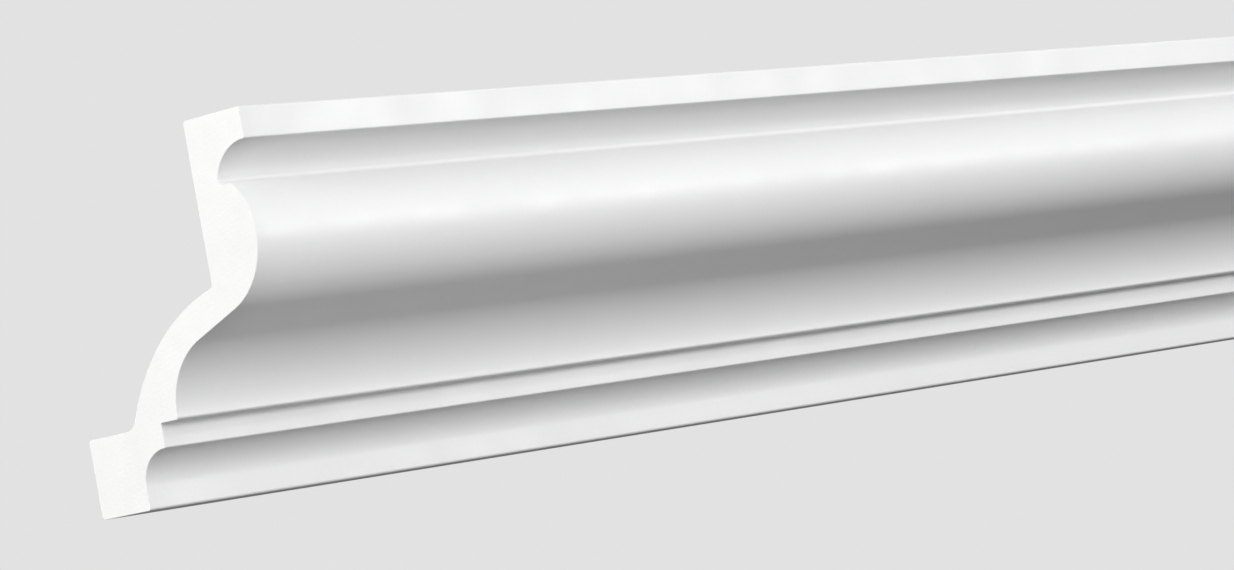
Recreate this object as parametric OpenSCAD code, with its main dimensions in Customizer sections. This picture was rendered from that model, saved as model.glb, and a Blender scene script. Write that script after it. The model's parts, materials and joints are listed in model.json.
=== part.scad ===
// Crown moulding length: one cast strip of polyurethane that closes the corner between a wall and a
// ceiling. Its section is drawn as distances out from the wall and up from the underside of its foot,
// and runs unchanged between two square-cut ends. The origin is in the middle of the wall land,
// +X runs along the piece, -Y points into the room and +Z up to the ceiling.

/* [Overall] */
// Length between the two square-cut ends
length = 1000; // [200:10:2400]
// Height from the underside of the foot to the ceiling land
height = 110; // [90:0.5:140]
// Distance from the wall to the front of the top fillet
projection = 86.5; // [70:0.5:120]

/* [Lands] */
// Height of the land that lies on the wall
wall_land = 24.3; // [16:0.1:32]
// Width of the land that lies against the ceiling
ceiling_land = 23.6; // [16:0.1:32]

/* [Foot] */
// Thickness of the foot, from the wall to its plain face
foot_depth = 21; // [16:0.1:28]
// Height of the plain face below the foot's cove
foot_face = 7; // [2:0.1:10]
// Radius of the foot's cove
foot_cove_r = 10.3; // [6:0.1:14]
// Height of the fillet over the foot's cove
lower_fillet = 7.5; // [3:0.1:12]
// Width of the step from that fillet out to the ogee
step_width = 7.4; // [3:0.1:12]

/* [Ogee] */
// Length of the straight run between the ogee's hollow and its round
ogee_run = 18; // [4:0.5:24]
// Share of the ogee's two radii that the hollow takes
hollow_share = 0.505; // [0.35:0.005:0.65]
// Angle above level at which the round stops at the quirk
round_stop_angle = 46.5; // [20:1:70]
// Setback of the round behind the top fillet
round_setback = 2; // [0.5:0.1:6]

/* [Top] */
// Height of the top fillet
top_fillet = 9.5; // [5:0.1:14]
// Radius of the cove under the top fillet
top_cove_r = 13.5; // [8:0.1:16]
// Height of the quirk's ledge above the centre of that cove
quirk_rise = 1.8; // [0:0.1:4]
// Width of the flat between that cove and the rounded arris of the top fillet
top_lip = 0.2; // [0.1:0.1:4]

/* [Hollow back] */
// Thickness of the web behind the ogee's straight run
web = 9.8; // [6:0.1:14]
// Bow of the web's back towards the corner of the room
web_bow = 6.3; // [3:0.1:9]
// Width of the shoulder on top of the foot, up to where the web leaves it
shoulder_width = 16.3; // [12:0.1:19]

/* [Edges] */
// Rounding of the front arrises
arris_r = 0.5; // [0.2:0.05:0.9]
// Rounding of the step's outer edge
step_r = 0.8; // [0.2:0.05:1.2]
// Rounding in the corner between the lower fillet and the step
step_corner_r = 0.7; // [0.2:0.05:1.2]
// Rounding under the front of the foot
foot_front_r = 0.8; // [0.2:0.05:1.5]
// Rounding under the back of the foot
foot_back_r = 1.5; // [0.2:0.05:2.5]
// Rounding on top of the foot's back
foot_top_r = 1; // [0.2:0.05:2.5]
// Rounding in the corner between the shoulder and the web
shoulder_r = 5.4; // [0.5:0.1:7]
// Rounding on the back of the ceiling land
ceiling_back_r = 1.2; // [0.2:0.05:2.5]

/* [Hidden] */
$fn = 180;

// Directions of travel round the section
OUT = [1, 0];
UP = [0, 1];
IN = [-1, 0];
DOWN = [0, -1];
// A round stretch is drawn a hair larger than its radius and reaches past its chord, so that it meets
// its neighbours at a clean crossing
GROW = 0.0002;
REACH = 0.3;

// Levels up the wall and distances out from it, where the members of the face meet
cove_top = foot_face + foot_cove_r;
step_level = cove_top + lower_fillet;
hollow_start = step_level + step_r;
top_level = height - top_fillet;
cove_centre = [projection - arris_r - top_lip, top_level - top_cove_r];
quirk_level = cove_centre.y + quirk_rise;
fillet_out = foot_depth + foot_cove_r + arris_r;
ogee_out = fillet_out + step_width;
back_out = projection - ceiling_land;
cove_end = [cove_centre.x, top_level];
quirk = [cove_centre.x - sqrt(top_cove_r ^ 2 - quirk_rise ^ 2), quirk_level];

// The ogee is an S of two arcs joined by a straight run that touches both. It starts upright at the
// step and is upright again at the tip of the round, ogee_width further out. With R the sum of the
// radii, the tip stands h over the start, where h^2 + ogee_width^2 = ogee_run^2 + 2 ogee_width R.
// The round goes on above its tip to the quirk, so h = ogee_height - rise_share R, and R is the
// smaller root of the quadratic that follows.
ogee_width = projection - round_setback - ogee_out;
ogee_height = quirk_level - hollow_start;
rise_share = (1 - hollow_share) * sin(round_stop_angle);
half_b = ogee_height * rise_share + ogee_width;
c = ogee_height ^ 2 + ogee_width ^ 2 - ogee_run ^ 2;
radii = (half_b - sqrt(half_b ^ 2 - rise_share ^ 2 * c)) / rise_share ^ 2;
hollow_r = hollow_share * radii;
round_r = radii - hollow_r;
hollow_centre = [ogee_out + hollow_r, hollow_start];
round_centre = [projection - round_setback - round_r, quirk_level - round_r * sin(round_stop_angle)];
// The slope of the run, and its two ends on the arcs
across = round_centre - hollow_centre;
run_slope = atan2(across.y, across.x) - atan2(radii, ogee_run);
run_normal = [-sin(run_slope), cos(run_slope)];
run_start = hollow_centre + hollow_r * run_normal;
run_end = round_centre - round_r * run_normal;
round_tip = round_centre + [round_r, 0];
round_top = round_centre + [0, round_r];

// The web's back meets the upright back over the run, and leaves the shoulder along its own curve
web_top = [back_out, run_start.y + (back_out - run_start.x) * tan(run_slope) + web / cos(run_slope)];
shoulder_end = [shoulder_width, wall_land];
web_chord = web_top - shoulder_end;
web_lean = atan2(web_chord.y, web_chord.x) + 2 * atan(2 * web_bow / norm(web_chord));
web_foot = shoulder_end + shoulder_r * [sin(web_lean), 1 - cos(web_lean)];

// Height of an arc over its chord, from its ends and its radius
function bow(a, b, r) = r - sqrt(r ^ 2 - (norm(b - a) / 2) ^ 2);

// A square corner rounded to radius r, for a path that comes in along one direction and goes on along
// another: its two stations, the second with the bow of the stretch that follows
function turn(corner, from, to, r, next = 0) = [
    [corner - r * from, sign(cross(from, to)) * bow(-r * from, r * to, r)],
    [corner + r * to, next],
];

// Both outlines run anticlockwise. Each station is a point and the bow of the stretch to the next one,
// positive where it swells and negative where it hollows.
// From the foot up to the round, which goes on over its top here and is cut off level at the quirk
lower_outline = [
    each turn([0, 0], DOWN, OUT, foot_back_r),
    each turn([foot_depth, 0], OUT, UP, foot_front_r),
    [[foot_depth, foot_face], -bow([0, 0], [foot_cove_r, foot_cove_r], foot_cove_r)],
    each turn([fillet_out, cove_top], OUT, UP, arris_r),
    each turn([fillet_out, step_level], UP, OUT, step_corner_r),
    each turn([ogee_out, step_level], OUT, UP, step_r, -bow([ogee_out, hollow_start], run_start, hollow_r)),
    [run_start, 0],
    [run_end, bow(run_end, round_tip, round_r)],
    [round_tip, bow(round_tip, round_top, round_r)],
    [round_top, 0],
    [[back_out, round_top.y], 0],
    [web_top, web_bow],
    [web_foot, -bow(web_foot, shoulder_end, shoulder_r)],
    [shoulder_end, 0],
    each turn([0, wall_land], IN, DOWN, foot_top_r),
];

// From the quirk up to the ceiling
head_outline = [
    [[back_out, quirk_level], 0],
    [quirk, -bow(quirk, cove_end, top_cove_r)],
    [cove_end, 0],
    each turn([projection, top_level], OUT, UP, arris_r),
    each turn([projection, height], UP, IN, arris_r),
    each turn([back_out, height], IN, DOWN, ceiling_back_r),
];

// The sliver between an arc and its chord, from a to b anticlockwise; a negative bow hollows
module round_stretch(a, b, bow) {
    h = abs(bow);
    chord = norm(b - a);
    r = (chord ^ 2 / 4 + h ^ 2) / (2 * h);
    along = (b - a) / chord;
    over = sign(bow) * [along.y, -along.x];
    intersection() {
        translate((a + b) / 2 - (r - h) * over)
            circle(r + GROW);
        polygon([
            a - (h + REACH) * along - REACH * over,
            b + (h + REACH) * along - REACH * over,
            b + (h + REACH) * along + 2 * h * over,
            a - (h + REACH) * along + 2 * h * over,
        ]);
    }
}

// Every round stretch of an outline that swells (sense 1) or hollows (sense -1)
module round_stretches(outline, sense) {
    for (i = [0 : len(outline) - 1])
        if (sense * outline[i][1] > 0)
            round_stretch(outline[i][0], outline[(i + 1) % len(outline)][0], outline[i][1]);
}

module filled(outline) {
    difference() {
        union() {
            polygon([for (station = outline) station[0]]);
            round_stretches(outline, 1);
        }
        round_stretches(outline, -1);
    }
}

module section() {
    intersection() {
        filled(lower_outline);
        square([projection, quirk_level]);
    }
    filled(head_outline);
}

module crown_moulding() {
    color("white")
        translate([0, 0, -wall_land / 2])
            rotate([90, 0, -90])
                linear_extrude(length, center = true)
                    section();
}

crown_moulding();
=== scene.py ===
"""A length of crown moulding in moulded polyurethane: its fine surfaces, its finishes and a studio."""

import json
import math

import bpy
import numpy as np
from bpy.props import FloatProperty, FloatVectorProperty, PointerProperty
from mathutils import Matrix, Vector
from mathutils.geometry import delaunay_2d_cdt


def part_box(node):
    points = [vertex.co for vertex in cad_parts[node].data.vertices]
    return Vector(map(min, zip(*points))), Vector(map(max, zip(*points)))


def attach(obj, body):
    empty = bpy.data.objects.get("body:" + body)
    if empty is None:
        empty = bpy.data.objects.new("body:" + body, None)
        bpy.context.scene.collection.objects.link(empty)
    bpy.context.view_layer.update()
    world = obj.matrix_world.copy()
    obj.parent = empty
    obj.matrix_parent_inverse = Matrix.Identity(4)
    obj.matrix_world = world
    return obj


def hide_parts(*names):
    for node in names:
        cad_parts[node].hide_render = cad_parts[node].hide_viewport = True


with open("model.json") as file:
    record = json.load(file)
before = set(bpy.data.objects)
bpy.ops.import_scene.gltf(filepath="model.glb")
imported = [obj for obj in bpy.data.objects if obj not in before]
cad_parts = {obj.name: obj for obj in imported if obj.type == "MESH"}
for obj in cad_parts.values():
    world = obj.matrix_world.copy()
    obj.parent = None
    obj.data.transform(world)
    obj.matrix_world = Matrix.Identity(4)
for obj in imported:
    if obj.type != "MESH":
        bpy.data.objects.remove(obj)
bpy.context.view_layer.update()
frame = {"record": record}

bl_info = {
    "name": "Crown moulding length",
    "version": (1, 0, 0),
    "blender": (4, 5, 0),
    "location": "3D View > Sidebar > Moulding",
    "description": "Builds a crown moulding length with its finishes, and a studio for it",
    "category": "Add Mesh",
}

NODE = "crown_moulding"
PIECE = "crown_moulding_length"
MM = 0.001
LOW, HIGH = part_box(NODE)
MOUNTS = {mount["name"]: mount for mount in frame["record"]["mounts"]}
# The mesh's material slots: primed face, bare back and lands, and cut ends
FACE, BACK, CUT = range(3)


# --------------------------------------------------------------------------------------------------
# Settings
# --------------------------------------------------------------------------------------------------


def millimetres(name, description, default):
    """A length setting, given in millimetres and kept in metres."""
    return FloatProperty(
        name=name, description=description, default=default * MM, min=0, precision=5, unit="LENGTH"
    )


def colour(name, description, default):
    """A colour setting, as scene-linear red, green and blue."""
    return FloatVectorProperty(
        name=name, description=description, default=default, min=0, max=1, size=3, subtype="COLOR"
    )


class MouldingSectionSettings(bpy.types.PropertyGroup):
    """The members of the section, from the foot up. Its height, projection and lands come from the
    frame."""

    foot_depth: millimetres("Foot depth", "Thickness of the foot out from the wall", 21)
    foot_face: millimetres("Foot face", "Height of the plain face below the foot's cove", 7)
    foot_cove_r: millimetres("Foot cove", "Radius of the foot's cove", 10.3)
    lower_fillet: millimetres("Lower fillet", "Height of the fillet over the foot's cove", 7.5)
    step_width: millimetres("Step", "Width of the step from that fillet out to the ogee", 7.4)
    ogee_run: millimetres("Ogee run", "Straight run between the ogee's hollow and its round", 18)
    hollow_share: FloatProperty(
        name="Hollow share", description="Share of the ogee's two radii that the hollow takes",
        default=0.505, subtype="FACTOR",
    )
    round_stop: FloatProperty(
        name="Round stop", description="Angle above level at which the round meets the quirk",
        default=math.radians(46.5), subtype="ANGLE",
    )
    round_setback: millimetres("Round setback", "Setback of the round behind the top fillet", 2)
    top_fillet: millimetres("Top fillet", "Height of the top fillet", 9.5)
    top_cove_r: millimetres("Top cove", "Radius of the cove under the top fillet", 13.5)
    quirk_rise: millimetres("Quirk rise", "Height of the quirk's ledge above that cove's centre", 1.8)
    top_lip: millimetres("Top lip", "Flat between the cove and the top fillet's rounded arris", 0.2)
    web: millimetres("Web", "Thickness of the web behind the ogee's straight run", 9.8)
    web_bow: millimetres("Web bow", "Bow of the web's back towards the corner of the room", 6.3)
    shoulder_width: millimetres("Shoulder", "Width of the shoulder on top of the foot", 16.3)


class MouldingEdgeSettings(bpy.types.PropertyGroup):
    """Roundings of the section's corners and of the cut ends."""

    arris: millimetres("Arris", "Rounding of the front arrises", 0.5)
    step: millimetres("Step edge", "Rounding of the step's outer edge", 0.8)
    step_corner: millimetres("Step corner", "Rounding in the corner over the lower fillet", 0.4)
    quirk_edge: millimetres("Quirk edge", "Rounding where the round breaks into the quirk", 0.4)
    quirk_corner: millimetres("Quirk corner", "Rounding at the bottom of the quirk", 1.8)
    foot_front: millimetres("Foot front", "Rounding under the front of the foot", 0.8)
    foot_back: millimetres("Foot back", "Rounding under the back of the foot", 1.5)
    foot_top: millimetres("Foot top", "Rounding on top of the foot's back", 1)
    shoulder: millimetres("Shoulder corner", "Rounding between the shoulder and the web", 5.4)
    web_corner: millimetres("Web corner", "Rounding between the web and the upright back", 1.5)
    ceiling_back: millimetres("Ceiling land back", "Rounding on the back of the ceiling land", 1.2)
    cut_end: millimetres("Cut end", "Softening of the arris round each cut end", 0.15)


class MouldingFinishSettings(bpy.types.PropertyGroup):
    """Colours of the three finishes."""

    primer: colour("Primer", "Satin primer on the face", (0.80, 0.80, 0.805))
    moulded: colour("Moulded skin", "Bare moulded skin on the back and the lands", (0.76, 0.755, 0.74))
    foam: colour("Cut foam", "Sawn foam at the ends", (0.86, 0.86, 0.855))


class MouldingStudioSettings(bpy.types.PropertyGroup):
    """The camera and the light of the studio."""

    lens: FloatProperty(
        name="Lens", description="Focal length on a 36 mm sensor", default=138.28, unit="CAMERA"
    )
    floor_drop: FloatProperty(
        name="Floor drop", description="Depth of the floor below the foot", default=0.30, unit="LENGTH"
    )
    paper: colour("Paper", "Colour of the floor", (0.92, 0.92, 0.92))


def settings(name):
    """One of this add-on's groups of settings, on the scene in use."""
    return getattr(bpy.context.scene, name)


# --------------------------------------------------------------------------------------------------
# The section: distances out from the wall and up from the underside of the foot, in metres
# --------------------------------------------------------------------------------------------------

# The widest angle and the longest stretch between an arc's points, and the fewest parts of an arc
ARC_ANGLE = math.radians(2.5)
ARC_STEP = 0.6 * MM
ARC_FEWEST = 8


def point(out, up):
    """A point of the section."""
    return np.array([out, up], float)


def arc(centre, radius, start, end):
    """Points of a circular arc, ends included: centre plus radius times (cosine, sine) of evenly spaced
    angles from start to end."""
    sweep = abs(end - start)
    count = max(ARC_FEWEST, math.ceil(sweep / ARC_ANGLE), math.ceil(sweep * radius / ARC_STEP))
    angles = np.linspace(start, end, count + 1)
    return centre + radius * np.stack([np.cos(angles), np.sin(angles)], 1)


def square_corner(corner, radius, start, turn):
    """A quarter arc in a square corner. Start is the angle at which it begins round its own centre, and
    turn is 1 for a corner that swells and -1 for one that hollows."""
    painted_pore_shade = start + turn * math.pi / 4
    centre = corner - radius * math.sqrt(2) * point(math.cos(painted_pore_shade), math.sin(painted_pore_shade))
    return arc(centre, radius, start, start + turn * math.pi / 2)


def ogee_arcs(start, tip_out, quirk_level, run, hollow_share, stop):
    """The ogee's hollow and round: centre and radius of each, and the slope of the straight run between
    them. Both arcs are upright where they start and at the round's tip. With R the sum of the radii and w
    the width, the tip stands h over the start, where h^2 + w^2 = run^2 + 2 w R, and the round goes on above
    its tip to the quirk, so h = height - k R. R is the smaller root of the quadratic that the two make."""
    width, height = tip_out - start[0], quirk_level - start[1]
    k = (1 - hollow_share) * math.sin(stop)
    half_b = height * k + width
    radii = (half_b - math.sqrt(half_b**2 - k**2 * (height**2 + width**2 - run**2))) / k**2
    hollow_r = hollow_share * radii
    round_r = radii - hollow_r
    hollow_centre = start + point(hollow_r, 0)
    round_centre = point(tip_out - round_r, quirk_level - round_r * math.sin(stop))
    across = round_centre - hollow_centre
    slope = math.atan2(across[1], across[0]) - math.atan2(radii, run)
    return hollow_centre, hollow_r, round_centre, round_r, slope


def bowed_arc(start, end, bow):
    """The arc from start to end that stands bow to the right of its chord at the middle: its centre,
    its radius and its two angles."""
    chord = end - start
    length = np.hypot(*chord)
    radius = (length**2 / 4 + bow**2) / (2 * bow)
    right = point(chord[1], -chord[0]) / length
    centre = (start + end) / 2 - (radius - bow) * right
    first = math.atan2(*(start - centre)[::-1])
    return centre, radius, first, first + 2 * math.asin(length / 2 / radius)


def section_stretches():
    """The section's curved stretches, anticlockwise from the back of the foot: (slot, points) for each.
    A straight runs from the last point of each to the first point of the next. A mount stands in the
    middle of each land, so a land is twice as wide as its mount is far from its edge."""
    s, e = settings("moulding_section"), settings("moulding_edges")
    height, projection = HIGH.z - LOW.z, HIGH.y - LOW.y
    wall_land = -2 * LOW.z
    ceiling_land = 2 * (projection + MOUNTS["ceiling_land"]["pos_m"][1])
    right, up, left, down = 0, math.pi / 2, math.pi, -math.pi / 2

    cove_top = s.foot_face + s.foot_cove_r
    step_level = cove_top + s.lower_fillet
    fillet_out = s.foot_depth + s.foot_cove_r + e.arris
    ogee_out = fillet_out + s.step_width
    back_out = projection - ceiling_land
    top_level = height - s.top_fillet
    cove_centre = point(projection - e.arris - s.top_lip, top_level - s.top_cove_r)
    quirk_level = cove_centre[1] + s.quirk_rise
    hollow_centre, hollow_r, round_centre, round_r, slope = ogee_arcs(
        point(ogee_out, step_level + e.step), projection - s.round_setback, quirk_level,
        s.ogee_run, s.hollow_share, s.round_stop,
    )
    run_start = hollow_centre + hollow_r * point(-math.sin(slope), math.cos(slope))

    # The round breaks into the quirk over a small edge that touches both it and the ledge
    edge_level = quirk_level - e.quirk_edge
    edge_rise = edge_level - round_centre[1]
    edge_centre = point(
        round_centre[0] + math.sqrt((round_r - e.quirk_edge) ** 2 - edge_rise**2), edge_level
    )
    edge_angle = math.atan2(*(edge_centre - round_centre)[::-1])
    # The quirk's bottom corner touches the ledge and the top cove
    corner_level = quirk_level + e.quirk_corner
    corner_rise = corner_level - cove_centre[1]
    corner_centre = point(
        cove_centre[0] - math.sqrt((s.top_cove_r - e.quirk_corner) ** 2 - corner_rise**2), corner_level
    )
    corner_angle = math.atan2(*(corner_centre - cove_centre)[::-1])

    web_top = point(
        back_out,
        run_start[1] + (back_out - run_start[0]) * math.tan(slope) + s.web / math.cos(slope),
    )
    shoulder_end = point(s.shoulder_width, wall_land)
    chord = web_top - shoulder_end
    lean = math.atan2(chord[1], chord[0]) + 2 * math.atan(2 * s.web_bow / np.hypot(*chord))
    web_foot = shoulder_end + e.shoulder * point(math.sin(lean), 1 - math.cos(lean))
    web_centre, web_r, _, web_end = bowed_arc(web_top, web_foot, s.web_bow)
    # A small corner joins the upright back and the web, and touches both
    nook_out = back_out - e.web_corner
    nook_rise = math.sqrt((web_r + e.web_corner) ** 2 - (nook_out - web_centre[0]) ** 2)
    nook_centre = point(nook_out, web_centre[1] + nook_rise)
    nook_angle = math.atan2(*(nook_centre - web_centre)[::-1])

    def corner(out, level, radius, start, turn):
        return square_corner(point(out, level), radius, start, turn)

    return [
        (BACK, corner(0, 0, e.foot_back, left, 1)),
        (FACE, corner(s.foot_depth, 0, e.foot_front, down, 1)),
        (FACE, arc(point(s.foot_depth + s.foot_cove_r, s.foot_face), s.foot_cove_r, left, up)),
        (FACE, corner(fillet_out, cove_top, e.arris, down, 1)),
        (FACE, corner(fillet_out, step_level, e.step_corner, left, -1)),
        (FACE, corner(ogee_out, step_level, e.step, down, 1)),
        (FACE, arc(hollow_centre, hollow_r, left, up + slope)),
        (FACE, arc(round_centre, round_r, slope + down, edge_angle)),
        (FACE, arc(edge_centre, e.quirk_edge, edge_angle, up)),
        (FACE, arc(corner_centre, e.quirk_corner, down, corner_angle - 2 * math.pi)),
        (FACE, arc(cove_centre, s.top_cove_r, corner_angle, up)),
        (FACE, corner(projection, top_level, e.arris, down, 1)),
        (FACE, corner(projection, height, e.arris, right, 1)),
        (BACK, corner(back_out, height, e.ceiling_back, up, 1)),
        (BACK, arc(nook_centre, e.web_corner, right, nook_angle - math.pi)),
        (BACK, arc(web_centre, web_r, nook_angle, web_end)),
        (BACK, arc(shoulder_end + point(0, e.shoulder), e.shoulder, down + lean, down)),
        (BACK, corner(0, wall_land, e.foot_top, up, 1)),
    ]


# --------------------------------------------------------------------------------------------------
# The moulding's mesh
# --------------------------------------------------------------------------------------------------

STRAIGHT_STEP = 2.0 * MM
ALONG_STEP = 12.5 * MM
ARRIS_RINGS = 3
# Spacing of the points inside a cut end, and the share of it that they keep clear of the rim
CAP_GRID = 0.8 * MM
CAP_CLEARANCE = 0.6
# Ends of stretches nearer than this are one point
SAME_POINT = 1e-7
# The triangulation works in millimetres, and merges points nearer than this
MERGED_POINTS = 1e-5


def outline():
    """The closed section: its points, and the material slot of the stretch from each point to the next.
    A straight between two stretches is divided evenly, and takes the slot of the one that it leads to."""
    stretches = section_stretches()
    points, slots = [], []
    for number, (slot, own) in enumerate(stretches):
        next_slot, following = stretches[(number + 1) % len(stretches)]
        gap = following[0] - own[-1]
        parts = max(1, math.ceil(np.hypot(*gap) / STRAIGHT_STEP))
        straight = own[-1] + np.linspace(0, 1, parts + 1)[1:-1, None] * gap
        if np.hypot(*gap) < SAME_POINT:
            own, straight = own[:-1], straight[:0]
        points += [own, straight]
        slots += [slot] * (len(own) - 1) + [next_slot] * (len(straight) + 1)
    return np.concatenate(points), np.array(slots)


def outward(points):
    """Outward normals of an anticlockwise outline: the mean direction of the two stretches that meet at a
    point, turned a quarter turn clockwise."""
    ahead = np.roll(points, -1, 0) - points
    ahead /= np.linalg.norm(ahead, axis=1, keepdims=True)
    mean = ahead + np.roll(ahead, 1, 0)
    mean /= np.linalg.norm(mean, axis=1, keepdims=True)
    return np.stack([mean[:, 1], -mean[:, 0]], 1)


def edge_distances(spots, points):
    """Distance from each spot to the nearest stretch of a closed outline: the spot is dropped squarely
    onto every stretch, held between its ends, and the shortest of the distances is kept."""
    along = np.roll(points, -1, 0) - points
    offset = spots[:, None] - points
    share = (offset * along).sum(2) / (along**2).sum(1)
    nearest = offset - np.clip(share, 0, 1)[..., None] * along
    return np.sqrt((nearest**2).sum(2).min(1))


def inside(spots, points):
    """Whether each spot lies inside a closed outline: a level line from it crosses the outline an odd
    number of times."""
    ahead = np.roll(points, -1, 0)
    level = spots[:, 1, None]
    spans = (points[:, 1] > level) != (ahead[:, 1] > level)
    rise = np.where(ahead[:, 1] == points[:, 1], 1, ahead[:, 1] - points[:, 1])
    crossing = points[:, 0] + (level - points[:, 1]) / rise * (ahead[:, 0] - points[:, 0])
    return (spans & (spots[:, 0, None] < crossing)).sum(1) % 2 == 1


def cap(rim):
    """A flat end inside a rim: points on a triangular grid, the distance of each to the rim, and the
    anticlockwise triangles that join them and the rim. Triangle numbers count the rim's points first."""
    lowest, highest = rim.min(0), rim.max(0)
    rows = np.arange(lowest[1], highest[1], CAP_GRID * math.sqrt(3) / 2)
    columns = np.arange(lowest[0], highest[0] + CAP_GRID, CAP_GRID)
    out, up = np.meshgrid(columns, rows)
    out = out + np.where(np.arange(len(rows)) % 2, CAP_GRID / 2, 0)[:, None]
    spots = np.stack([out.ravel(), up.ravel()], 1)
    distances = edge_distances(spots, rim)
    kept = inside(spots, rim) & (distances > CAP_CLEARANCE * CAP_GRID)
    spots, distances = spots[kept], distances[kept]

    count = len(rim)
    ring = np.stack([np.arange(count), np.roll(np.arange(count), -1)], 1)
    everything = np.concatenate([rim, spots])
    made = delaunay_2d_cdt((everything / MM).tolist(), ring.tolist(), [], 1, MERGED_POINTS)
    source = np.array([numbers[0] for numbers in made[3]])
    triangles = source[np.array(made[2])]
    a, b, c = (everything[triangles[:, corner]] for corner in range(3))
    turns = (b - a)[:, 0] * (c - a)[:, 1] - (b - a)[:, 1] * (c - a)[:, 0]
    triangles[turns < 0] = triangles[turns < 0][:, ::-1]
    return spots, distances, triangles


def joined_rings(rings, count):
    """Quads that join each ring of points to the next, with count points to a ring."""
    start = np.arange(rings - 1)[:, None] * count
    this, beside = start + np.arange(count), start + np.roll(np.arange(count), -1)
    return np.stack([this, this + count, beside + count, beside], 2).reshape(-1, 4)


def moulding_mesh():
    """The section carried along X. Each cut end's arris is a quarter turn in a few rings: at angle t a
    ring is in from the section by r (1 - cos t) and past the last full section by r sin t, with r the
    arris. Out from the wall is -Y, so the end at low X keeps the cap's turn and the other reverses it."""
    points, slots = outline()
    normals = outward(points)
    r = settings("moulding_edges").cut_end
    count = len(points)

    turn = np.linspace(0, math.pi / 2, ARRIS_RINGS + 1)
    body = np.linspace(LOW.x + r, HIGH.x - r, math.ceil((HIGH.x - LOW.x) / ALONG_STEP) + 1)
    along = np.concatenate([LOW.x + r - r * np.sin(turn[:0:-1]), body, HIGH.x - r + r * np.sin(turn[1:])])
    inset = np.concatenate([r * (1 - np.cos(turn[:0:-1])), 0 * body, r * (1 - np.cos(turn[1:]))])
    rings = points - inset[:, None, None] * normals
    place = np.empty((len(along), count, 3))
    place[..., 0] = along[:, None]
    place[..., 1] = -rings[..., 0]
    place[..., 2] = rings[..., 1] + LOW.z

    quads = joined_rings(len(along), count)
    spots, distances, triangles = cap(rings[0])
    first = len(along) * count
    ends = []
    vertices = [place.reshape(-1, 3)]
    for number, (x, ring_start) in enumerate([(LOW.x, 0), (HIGH.x, first - count)]):
        vertices.append(np.stack([np.full(len(spots), x), -spots[:, 0], spots[:, 1] + LOW.z], 1))
        shift = np.where(triangles < count, ring_start, first + number * len(spots) - count)
        ends.append((triangles + shift)[:, :: (-1 if number else 1)])

    mesh = bpy.data.meshes.new(PIECE)
    mesh.from_pydata(np.concatenate(vertices), [], quads.tolist() + np.concatenate(ends).tolist())
    stretch = np.arange(len(along) - 1)
    is_arris = np.minimum(stretch, stretch[::-1]) < ARRIS_RINGS
    material = np.where(is_arris[:, None], CUT, slots).ravel()
    material = np.concatenate([material, np.full(2 * len(triangles), CUT)]).astype(np.int32)
    mesh.polygons.foreach_set("material_index", material)
    smooth = np.ones(len(material), bool)
    smooth[len(quads):] = False
    mesh.polygons.foreach_set("use_smooth", smooth)
    depth = mesh.attributes.new("edge_distance", "FLOAT", "POINT")
    depth.data.foreach_set(
        "value", np.concatenate([np.zeros(first), distances, distances]).astype(np.float32)
    )
    mesh.update()
    return mesh


# --------------------------------------------------------------------------------------------------
# Finishes
# --------------------------------------------------------------------------------------------------

# The span that most of a noise's values fall in
NOISE_SPAN = (0.3, 0.7)
# Pinholes of the bare skin: cells to the metre, the share of cells without a hole, the hole's edge as a
# share of the cell, how much painted shade darkens it and how deep
PINHOLE_CELLS = 150
PINHOLE_RARITY = 0.90
PINHOLE_EDGE = (0.07, 0.13)
PINHOLE_PAINTED_SHADE = 0.25
PINHOLE_DEPTH = 0.25 * MM
# Foam: cells to the metre, how much painted shade darkens a cell's open middle and where that fades, the
# depths at which the dense skin ends and the open heart begins, how far that border wanders, and the saw's
# lines
FOAM_CELLS = 1500
FOAM_PORE_PAINTED_SHADE = 0.03
FOAM_CELL_FADE = (0.05, 0.45)
FOAM_SKIN = (0.4 * MM, 2.2 * MM)
FOAM_RAGGED = 0.5 * MM
SAW_LINES = 190
SAW_LEAN = math.radians(14)


def fill(tree, node, inputs):
    """Fills a node's inputs from values, or links them to sockets."""
    for socket, value in inputs.items():
        if isinstance(value, bpy.types.NodeSocket):
            tree.links.new(value, node.inputs[socket])
        else:
            node.inputs[socket].default_value = value


def add(tree, kind, inputs=None, **traits):
    """A new node of a kind, with its traits set and its inputs filled."""
    made = tree.nodes.new(kind)
    for trait, value in traits.items():
        setattr(made, trait, value)
    fill(tree, made, inputs or {})
    return made


def new_finish(name, specular):
    """A material, its tree, its principled shader and the object coordinates in that tree."""
    material = bpy.data.materials.new(name)
    material.use_nodes = True
    tree = material.node_tree
    tree.nodes.clear()
    shader = add(tree, "ShaderNodeBsdfPrincipled", {"Specular IOR Level": specular})
    add(tree, "ShaderNodeOutputMaterial", {"Surface": shader.outputs["BSDF"]})
    where = add(tree, "ShaderNodeTexCoord").outputs["Object"]
    return material, tree, shader, where


def noise(tree, where, scale, detail=2.0, roughness=0.5, distortion=0.0, stretch=1.0):
    """Noise from 0 to 1 with scale lumps to the metre. Stretch draws the pattern out along X."""
    if stretch != 1:
        drawn_out = add(tree, "ShaderNodeMapping", {"Vector": where, "Scale": (1 / stretch, 1, 1)})
        where = drawn_out.outputs["Vector"]
    made = add(tree, "ShaderNodeTexNoise", {
        "Vector": where, "Scale": scale, "Detail": detail, "Roughness": roughness,
        "Distortion": distortion,
    })
    return made.outputs["Fac"]


def cells(tree, where, scale):
    """Voronoi cells, scale of them to the metre: the distance from a cell's point, and a random colour."""
    made = add(tree, "ShaderNodeTexVoronoi", {"Vector": where, "Scale": scale})
    return made.outputs["Distance"], made.outputs["Color"]


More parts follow.
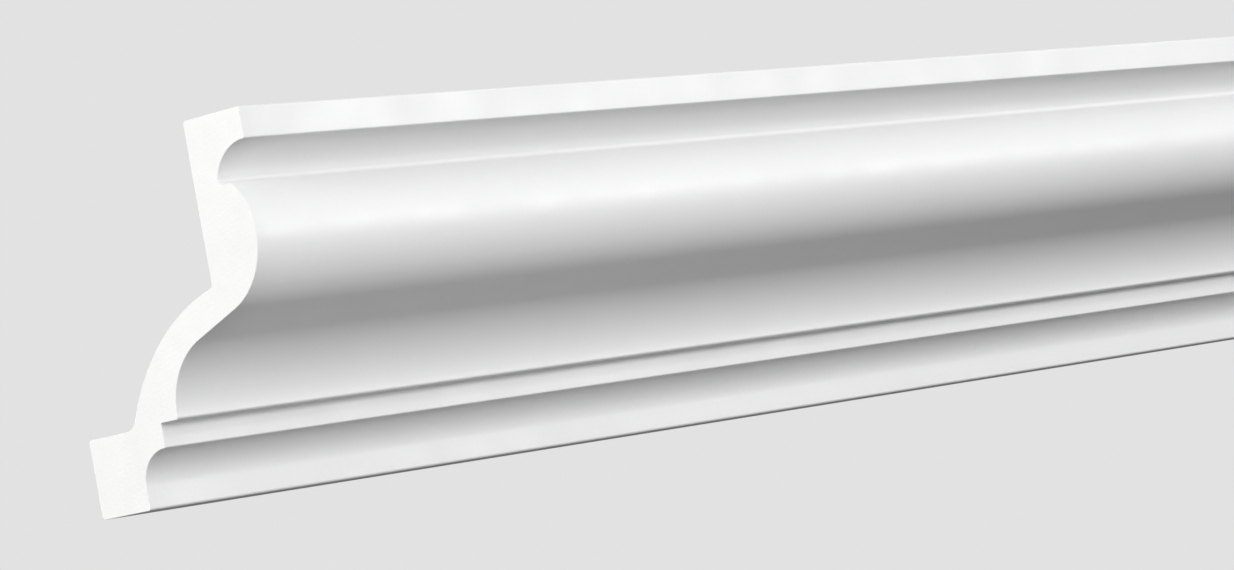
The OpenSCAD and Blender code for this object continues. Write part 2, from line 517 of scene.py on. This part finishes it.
def spread(tree, value, low, high, start=0.0, end=1.0):
    """A value carried from start..end to low..high, held between them."""
    made = add(tree, "ShaderNodeMapRange", {
        "Value": value, "From Min": start, "From Max": end, "To Min": low, "To Max": high,
    })
    return made.outputs["Result"]


def maths(tree, operation, first, second):
    """The result of one operation on two values."""
    return add(tree, "ShaderNodeMath", {0: first, 1: second}, operation=operation).outputs[0]


def shaded(tree, tint, brightness):
    """A colour scaled by a brightness value."""
    made = add(tree, "ShaderNodeVectorMath", {0: tuple(tint), "Scale": brightness}, operation="SCALE")
    return made.outputs["Vector"]


def relief(tree, height, depth, below=None):
    """A bump whose height of 0 to 1 stands for a depth in metres, over the bump below it."""
    inputs = {"Height": height, "Distance": depth, "Strength": 1.0}
    if below is not None:
        inputs["Normal"] = below
    return add(tree, "ShaderNodeBump", inputs).outputs["Normal"]


def primer_finish():
    """Satin primer over smooth moulded skin: faint clouds, fine peel and long, shallow draw lines."""
    material, tree, shader, where = new_finish("satin_primer", specular=0.42)
    clouds = noise(tree, where, scale=14, detail=3)
    peel = noise(tree, where, scale=620, roughness=0.45)
    draw_lines = noise(tree, where, scale=210, detail=3, roughness=0.6, stretch=40)
    blotches = noise(tree, where, scale=55)
    cloudy = spread(tree, clouds, 0.985, 1.012)
    peeled = spread(tree, peel, 0.994, 1.004, *NOISE_SPAN)
    brightness = maths(tree, "MULTIPLY", cloudy, peeled)
    drawn = relief(tree, draw_lines, 0.035 * MM)
    fill(tree, shader, {
        "Base Color": shaded(tree, settings("moulding_finish").primer, brightness),
        "Roughness": spread(tree, blotches, 0.40, 0.50, *NOISE_SPAN),
        "Normal": relief(tree, peel, 0.012 * MM, drawn),
    })
    return material


def moulded_finish():
    """Bare skin from the mould, more matt than the primer, with flow swirls and a few open pinholes, each
    darkened with painted shade.
    """
    material, tree, shader, where = new_finish("bare_moulded_skin", specular=0.35)
    swirls = noise(tree, where, scale=38, detail=4, roughness=0.55, distortion=1.6)
    patches = noise(tree, where, scale=9)
    grain = noise(tree, where, scale=900)
    distance, random_colour = cells(tree, where, PINHOLE_CELLS)
    chance = add(tree, "ShaderNodeSeparateColor", {"Color": random_colour}).outputs["Red"]
    rare = maths(tree, "GREATER_THAN", chance, PINHOLE_RARITY)
    hole = maths(tree, "MULTIPLY", spread(tree, distance, 1, 0, *PINHOLE_EDGE), rare)
    swirled = spread(tree, swirls, 0.965, 1.02, *NOISE_SPAN)
    patched = spread(tree, patches, 0.97, 1.02, *NOISE_SPAN)
    whole = maths(tree, "MULTIPLY", swirled, patched)
    # Painted shade darkens each pinhole
    brightness = maths(tree, "SUBTRACT", whole, maths(tree, "MULTIPLY", hole, PINHOLE_PAINTED_SHADE))
    skin = relief(tree, grain, 0.02 * MM, relief(tree, swirls, 0.12 * MM))
    fill(tree, shader, {
        "Base Color": shaded(tree, settings("moulding_finish").moulded, brightness),
        "Roughness": spread(tree, swirls, 0.52, 0.68, *NOISE_SPAN),
        "Normal": relief(tree, maths(tree, "SUBTRACT", 1, hole), PINHOLE_DEPTH, skin),
    })
    return material


def foam_finish():
    """Sawn foam: fine cells with painted shade in their open middles and faint mottling, closing to a
    denser skin round the edge that is whiter only for lacking that painted shade, with the saw's shallow
    lines across it all."""
    material, tree, shader, where = new_finish("sawn_foam", specular=0.25)
    depth = add(tree, "ShaderNodeAttribute", attribute_name="edge_distance").outputs["Fac"]
    wander = spread(tree, noise(tree, where, scale=420), -FOAM_RAGGED, FOAM_RAGGED)
    heart = spread(tree, maths(tree, "ADD", depth, wander), 0, 1, *FOAM_SKIN)
    distance, _ = cells(tree, where, FOAM_CELLS)
    mottle = noise(tree, where, scale=130, detail=4, roughness=0.6)
    patches = noise(tree, where, scale=32)
    mottled = spread(tree, mottle, 0.985, 1.01, *NOISE_SPAN)
    patched = spread(tree, patches, 0.985, 1.01, *NOISE_SPAN)
    whole = maths(tree, "MULTIPLY", mottled, patched)
    # Painted shade darkens the middle of each open cell, in the heart only
    painted_pore_shade = spread(tree, distance, FOAM_PORE_PAINTED_SHADE, 0, *FOAM_CELL_FADE)
    brightness = maths(tree, "SUBTRACT", whole, maths(tree, "MULTIPLY", painted_pore_shade, heart))
    turned = add(tree, "ShaderNodeMapping", {"Vector": where, "Rotation": (SAW_LEAN, 0, 0)})
    saw = add(tree, "ShaderNodeTexWave", {
        "Vector": turned.outputs["Vector"], "Scale": SAW_LINES, "Distortion": 2.5, "Detail": 2.0,
        "Detail Scale": 0.3,
    }, bands_direction="Z").outputs["Fac"]
    open_cells = maths(tree, "MULTIPLY", distance, spread(tree, heart, 0.15, 1))
    fill(tree, shader, {
        "Base Color": shaded(tree, settings("moulding_finish").foam, brightness),
        "Roughness": spread(tree, heart, 0.62, 0.88),
        "Normal": relief(tree, open_cells, 0.035 * MM, relief(tree, saw, 0.008 * MM)),
    })
    return material


def paper_finish():
    """Matt paper for the floor, with a faint tooth, that bounces less light than it shows."""
    material, tree, shader, where = new_finish("studio_paper", specular=0.1)
    tone = spread(tree, noise(tree, where, scale=3), 0.99, 1.01)
    seen = add(tree, "ShaderNodeLightPath").outputs["Is Camera Ray"]
    brightness = maths(tree, "MULTIPLY", tone, spread(tree, seen, FLOOR_BOUNCE, 1))
    fill(tree, shader, {
        "Base Color": shaded(tree, settings("moulding_studio").paper, brightness),
        "Roughness": 0.9,
        "Normal": relief(tree, noise(tree, where, scale=700), 0.05 * MM),
    })
    return material


# --------------------------------------------------------------------------------------------------
# Studio
# --------------------------------------------------------------------------------------------------

# The point that the camera and the softboxes face, and the camera's distance and turns about it
AIM = Vector((-0.3154, -0.0600, 0.0349))
AIM_DISTANCE = 1.5304
VIEW_AZIMUTH = math.radians(49.867)
VIEW_ELEVATION = math.radians(2.926)
VIEW_ROLL = math.radians(10.396)
SENSOR_WIDTH = 36
CLIP_START, CLIP_END = 0.01, 200
# Place, width and height, and power in watts of each softbox
SOFTBOXES = {
    "front_softbox": ((1.6, -2.2, 0.42), (1.6, 0.5), 36.0),
    "left_softbox": ((-1.2, -2.6, 0.5), (1.4, 0.6), 5.0),
    "high_softbox": ((1.2, -2.0, 1.2), (1.2, 0.4), 9.0),
    "side_softbox": ((-2.8, 0.2, 0.75), (1.2, 1.2), 44.0),
    "low_softbox": ((-0.55, -0.6, -0.16), (0.6, 0.2), 0.85),
    "end_softbox": ((2.9, 0.3, 0.7), (1.4, 1.2), 19.0),
    "back_softbox": ((0.8, 2.6, 1.2), (2.0, 1.2), 20.0),
}
# Light from the room above and below the horizon, the rise over which one fades into the other, and the
# plain tone that the camera sees there
ROOM_ABOVE = 0.72
ROOM_BELOW = 0.05
ROOM_FADE = (-0.1, 0.3)
ROOM_TONE = 0.76
# Share of its colour that the floor gives back to the piece, as under a dark cloth
FLOOR_BOUNCE = 0.22
FLOOR_RADIUS = 5.5
FLOOR_RINGS, FLOOR_SPOKES = 12, 96


def place_camera(lens):
    """The camera looks at the aim and a little upwards, turned from +Y towards +X by the azimuth, with
    its head rolled."""
    level = Vector((math.cos(VIEW_AZIMUTH), -math.sin(VIEW_AZIMUTH), 0))
    ahead = Vector((
        math.sin(VIEW_AZIMUTH) * math.cos(VIEW_ELEVATION),
        math.cos(VIEW_AZIMUTH) * math.cos(VIEW_ELEVATION),
        math.sin(VIEW_ELEVATION),
    ))
    over = level.cross(ahead)
    right = level * math.cos(VIEW_ROLL) - over * math.sin(VIEW_ROLL)
    up = over * math.cos(VIEW_ROLL) + level * math.sin(VIEW_ROLL)
    data = bpy.data.cameras.new("camera")
    data.lens = lens
    data.sensor_width = SENSOR_WIDTH
    data.clip_start, data.clip_end = CLIP_START, CLIP_END
    camera = bpy.data.objects.new("camera", data)
    columns = Matrix((right, up, -ahead)).transposed()
    camera.matrix_world = Matrix.Translation(AIM - AIM_DISTANCE * ahead) @ columns.to_4x4()
    bpy.context.collection.objects.link(camera)
    bpy.context.scene.camera = camera


def place_softbox(name, spot, size, power, lit):
    """A soft rectangular lamp that faces the aim and lights one collection, so that the floor stays
    even."""
    data = bpy.data.lights.new(name, "AREA")
    data.shape = "RECTANGLE"
    data.size, data.size_y = size
    data.energy = power
    lamp = bpy.data.objects.new(name, data)
    lamp.location = spot
    lamp.rotation_euler = (Vector(spot) - AIM).to_track_quat("Z", "Y").to_euler()
    bpy.context.collection.objects.link(lamp)
    lamp.light_linking.receiver_collection = lit


def pale_room():
    """A room that is one plain tone to the camera, and lights the piece softly from above and less
    from below."""
    room = bpy.data.worlds.new("pale_room")
    room.use_nodes = True
    tree = room.node_tree
    tree.nodes.clear()
    direction = add(tree, "ShaderNodeTexCoord").outputs["Generated"]
    rise = add(tree, "ShaderNodeSeparateXYZ", {"Vector": direction}).outputs["Z"]
    light = add(tree, "ShaderNodeBackground", {
        "Color": (1, 1, 1, 1), "Strength": spread(tree, rise, ROOM_BELOW, ROOM_ABOVE, *ROOM_FADE),
    })
    tone = add(tree, "ShaderNodeBackground", {"Color": (1, 1, 1, 1), "Strength": ROOM_TONE})
    seen = add(tree, "ShaderNodeLightPath").outputs["Is Camera Ray"]
    both = add(tree, "ShaderNodeMixShader", {0: seen, 1: light.outputs[0], 2: tone.outputs[0]})
    add(tree, "ShaderNodeOutputWorld", {"Surface": both.outputs[0]})
    return room


def floor_mesh(level):
    """A round floor: points on rings of radius R (k / n)^2 about the axis, joined in quads, with the
    middle ring closed by one many-sided face."""
    radius = FLOOR_RADIUS * (np.arange(1, FLOOR_RINGS + 1) / FLOOR_RINGS) ** 2
    angle = np.arange(FLOOR_SPOKES) * 2 * math.pi / FLOOR_SPOKES
    points = np.empty((FLOOR_RINGS, FLOOR_SPOKES, 3))
    points[..., 0] = radius[:, None] * np.cos(angle)
    points[..., 1] = radius[:, None] * np.sin(angle)
    points[..., 2] = level
    faces = joined_rings(FLOOR_RINGS, FLOOR_SPOKES).tolist() + [list(range(FLOOR_SPOKES))]
    mesh = bpy.data.meshes.new("studio_floor")
    mesh.from_pydata(points.reshape(-1, 3), [], faces)
    mesh.update()
    return mesh


# --------------------------------------------------------------------------------------------------
# Operators and panel
# --------------------------------------------------------------------------------------------------


class MOULDING_OT_build_length(bpy.types.Operator):
    """Build the moulding: one sweep of the section with its primed face, bare back and sawn ends"""

    bl_idname = "moulding.build_length"
    bl_label = "Crown moulding length"

    def execute(self, context):
        mesh = moulding_mesh()
        finishes = {FACE: primer_finish, BACK: moulded_finish, CUT: foam_finish}
        for slot in sorted(finishes):
            mesh.materials.append(finishes[slot]())
        piece = bpy.data.objects.new(PIECE, mesh)
        context.collection.objects.link(piece)
        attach(piece, "root")
        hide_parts(NODE)
        return {"FINISHED"}


class MOULDING_OT_build_studio(bpy.types.Operator):
    """Build the studio: the camera, the pale floor, the pale room and the softboxes"""

    bl_idname = "moulding.build_studio"
    bl_label = "Studio"

    def execute(self, context):
        studio = settings("moulding_studio")
        place_camera(studio.lens)
        lit = bpy.data.collections.new("lit_by_softboxes")
        lit.objects.link(bpy.data.objects[PIECE])
        for name, (spot, size, power) in SOFTBOXES.items():
            place_softbox(name, spot, size, power, lit)
        floor = bpy.data.objects.new("studio_floor", floor_mesh(LOW.z - studio.floor_drop))
        floor.data.materials.append(paper_finish())
        context.collection.objects.link(floor)

        context.scene.world = pale_room()
        context.scene.view_settings.view_transform = "Standard"
        return {"FINISHED"}


class MOULDING_PT_panel(bpy.types.Panel):
    """The moulding's settings and the operators that build it"""

    bl_idname = "MOULDING_PT_panel"
    bl_label = "Crown moulding"
    bl_space_type = "VIEW_3D"
    bl_region_type = "UI"
    bl_category = "Moulding"

    def draw(self, context):
        column = self.layout.column()
        for operator in OPERATORS:
            column.operator(operator.bl_idname)
        for name, group in SETTINGS.items():
            for setting in group.__annotations__:
                column.prop(getattr(context.scene, name), setting)


SETTINGS = {
    "moulding_section": MouldingSectionSettings,
    "moulding_edges": MouldingEdgeSettings,
    "moulding_finish": MouldingFinishSettings,
    "moulding_studio": MouldingStudioSettings,
}
OPERATORS = (MOULDING_OT_build_length, MOULDING_OT_build_studio)


def register():
    for made in (*SETTINGS.values(), *OPERATORS, MOULDING_PT_panel):
        bpy.utils.register_class(made)
    for name, group in SETTINGS.items():
        setattr(bpy.types.Scene, name, PointerProperty(type=group))


def unregister():
    for name in SETTINGS:
        delattr(bpy.types.Scene, name)
    for made in (MOULDING_PT_panel, *reversed(OPERATORS), *reversed(SETTINGS.values())):
        bpy.utils.unregister_class(made)


def main():
    """Registers the classes, and builds the piece and the studio."""
    register()
    bpy.ops.moulding.build_length()
    bpy.ops.moulding.build_studio()


if __name__ == "__main__":
    main()
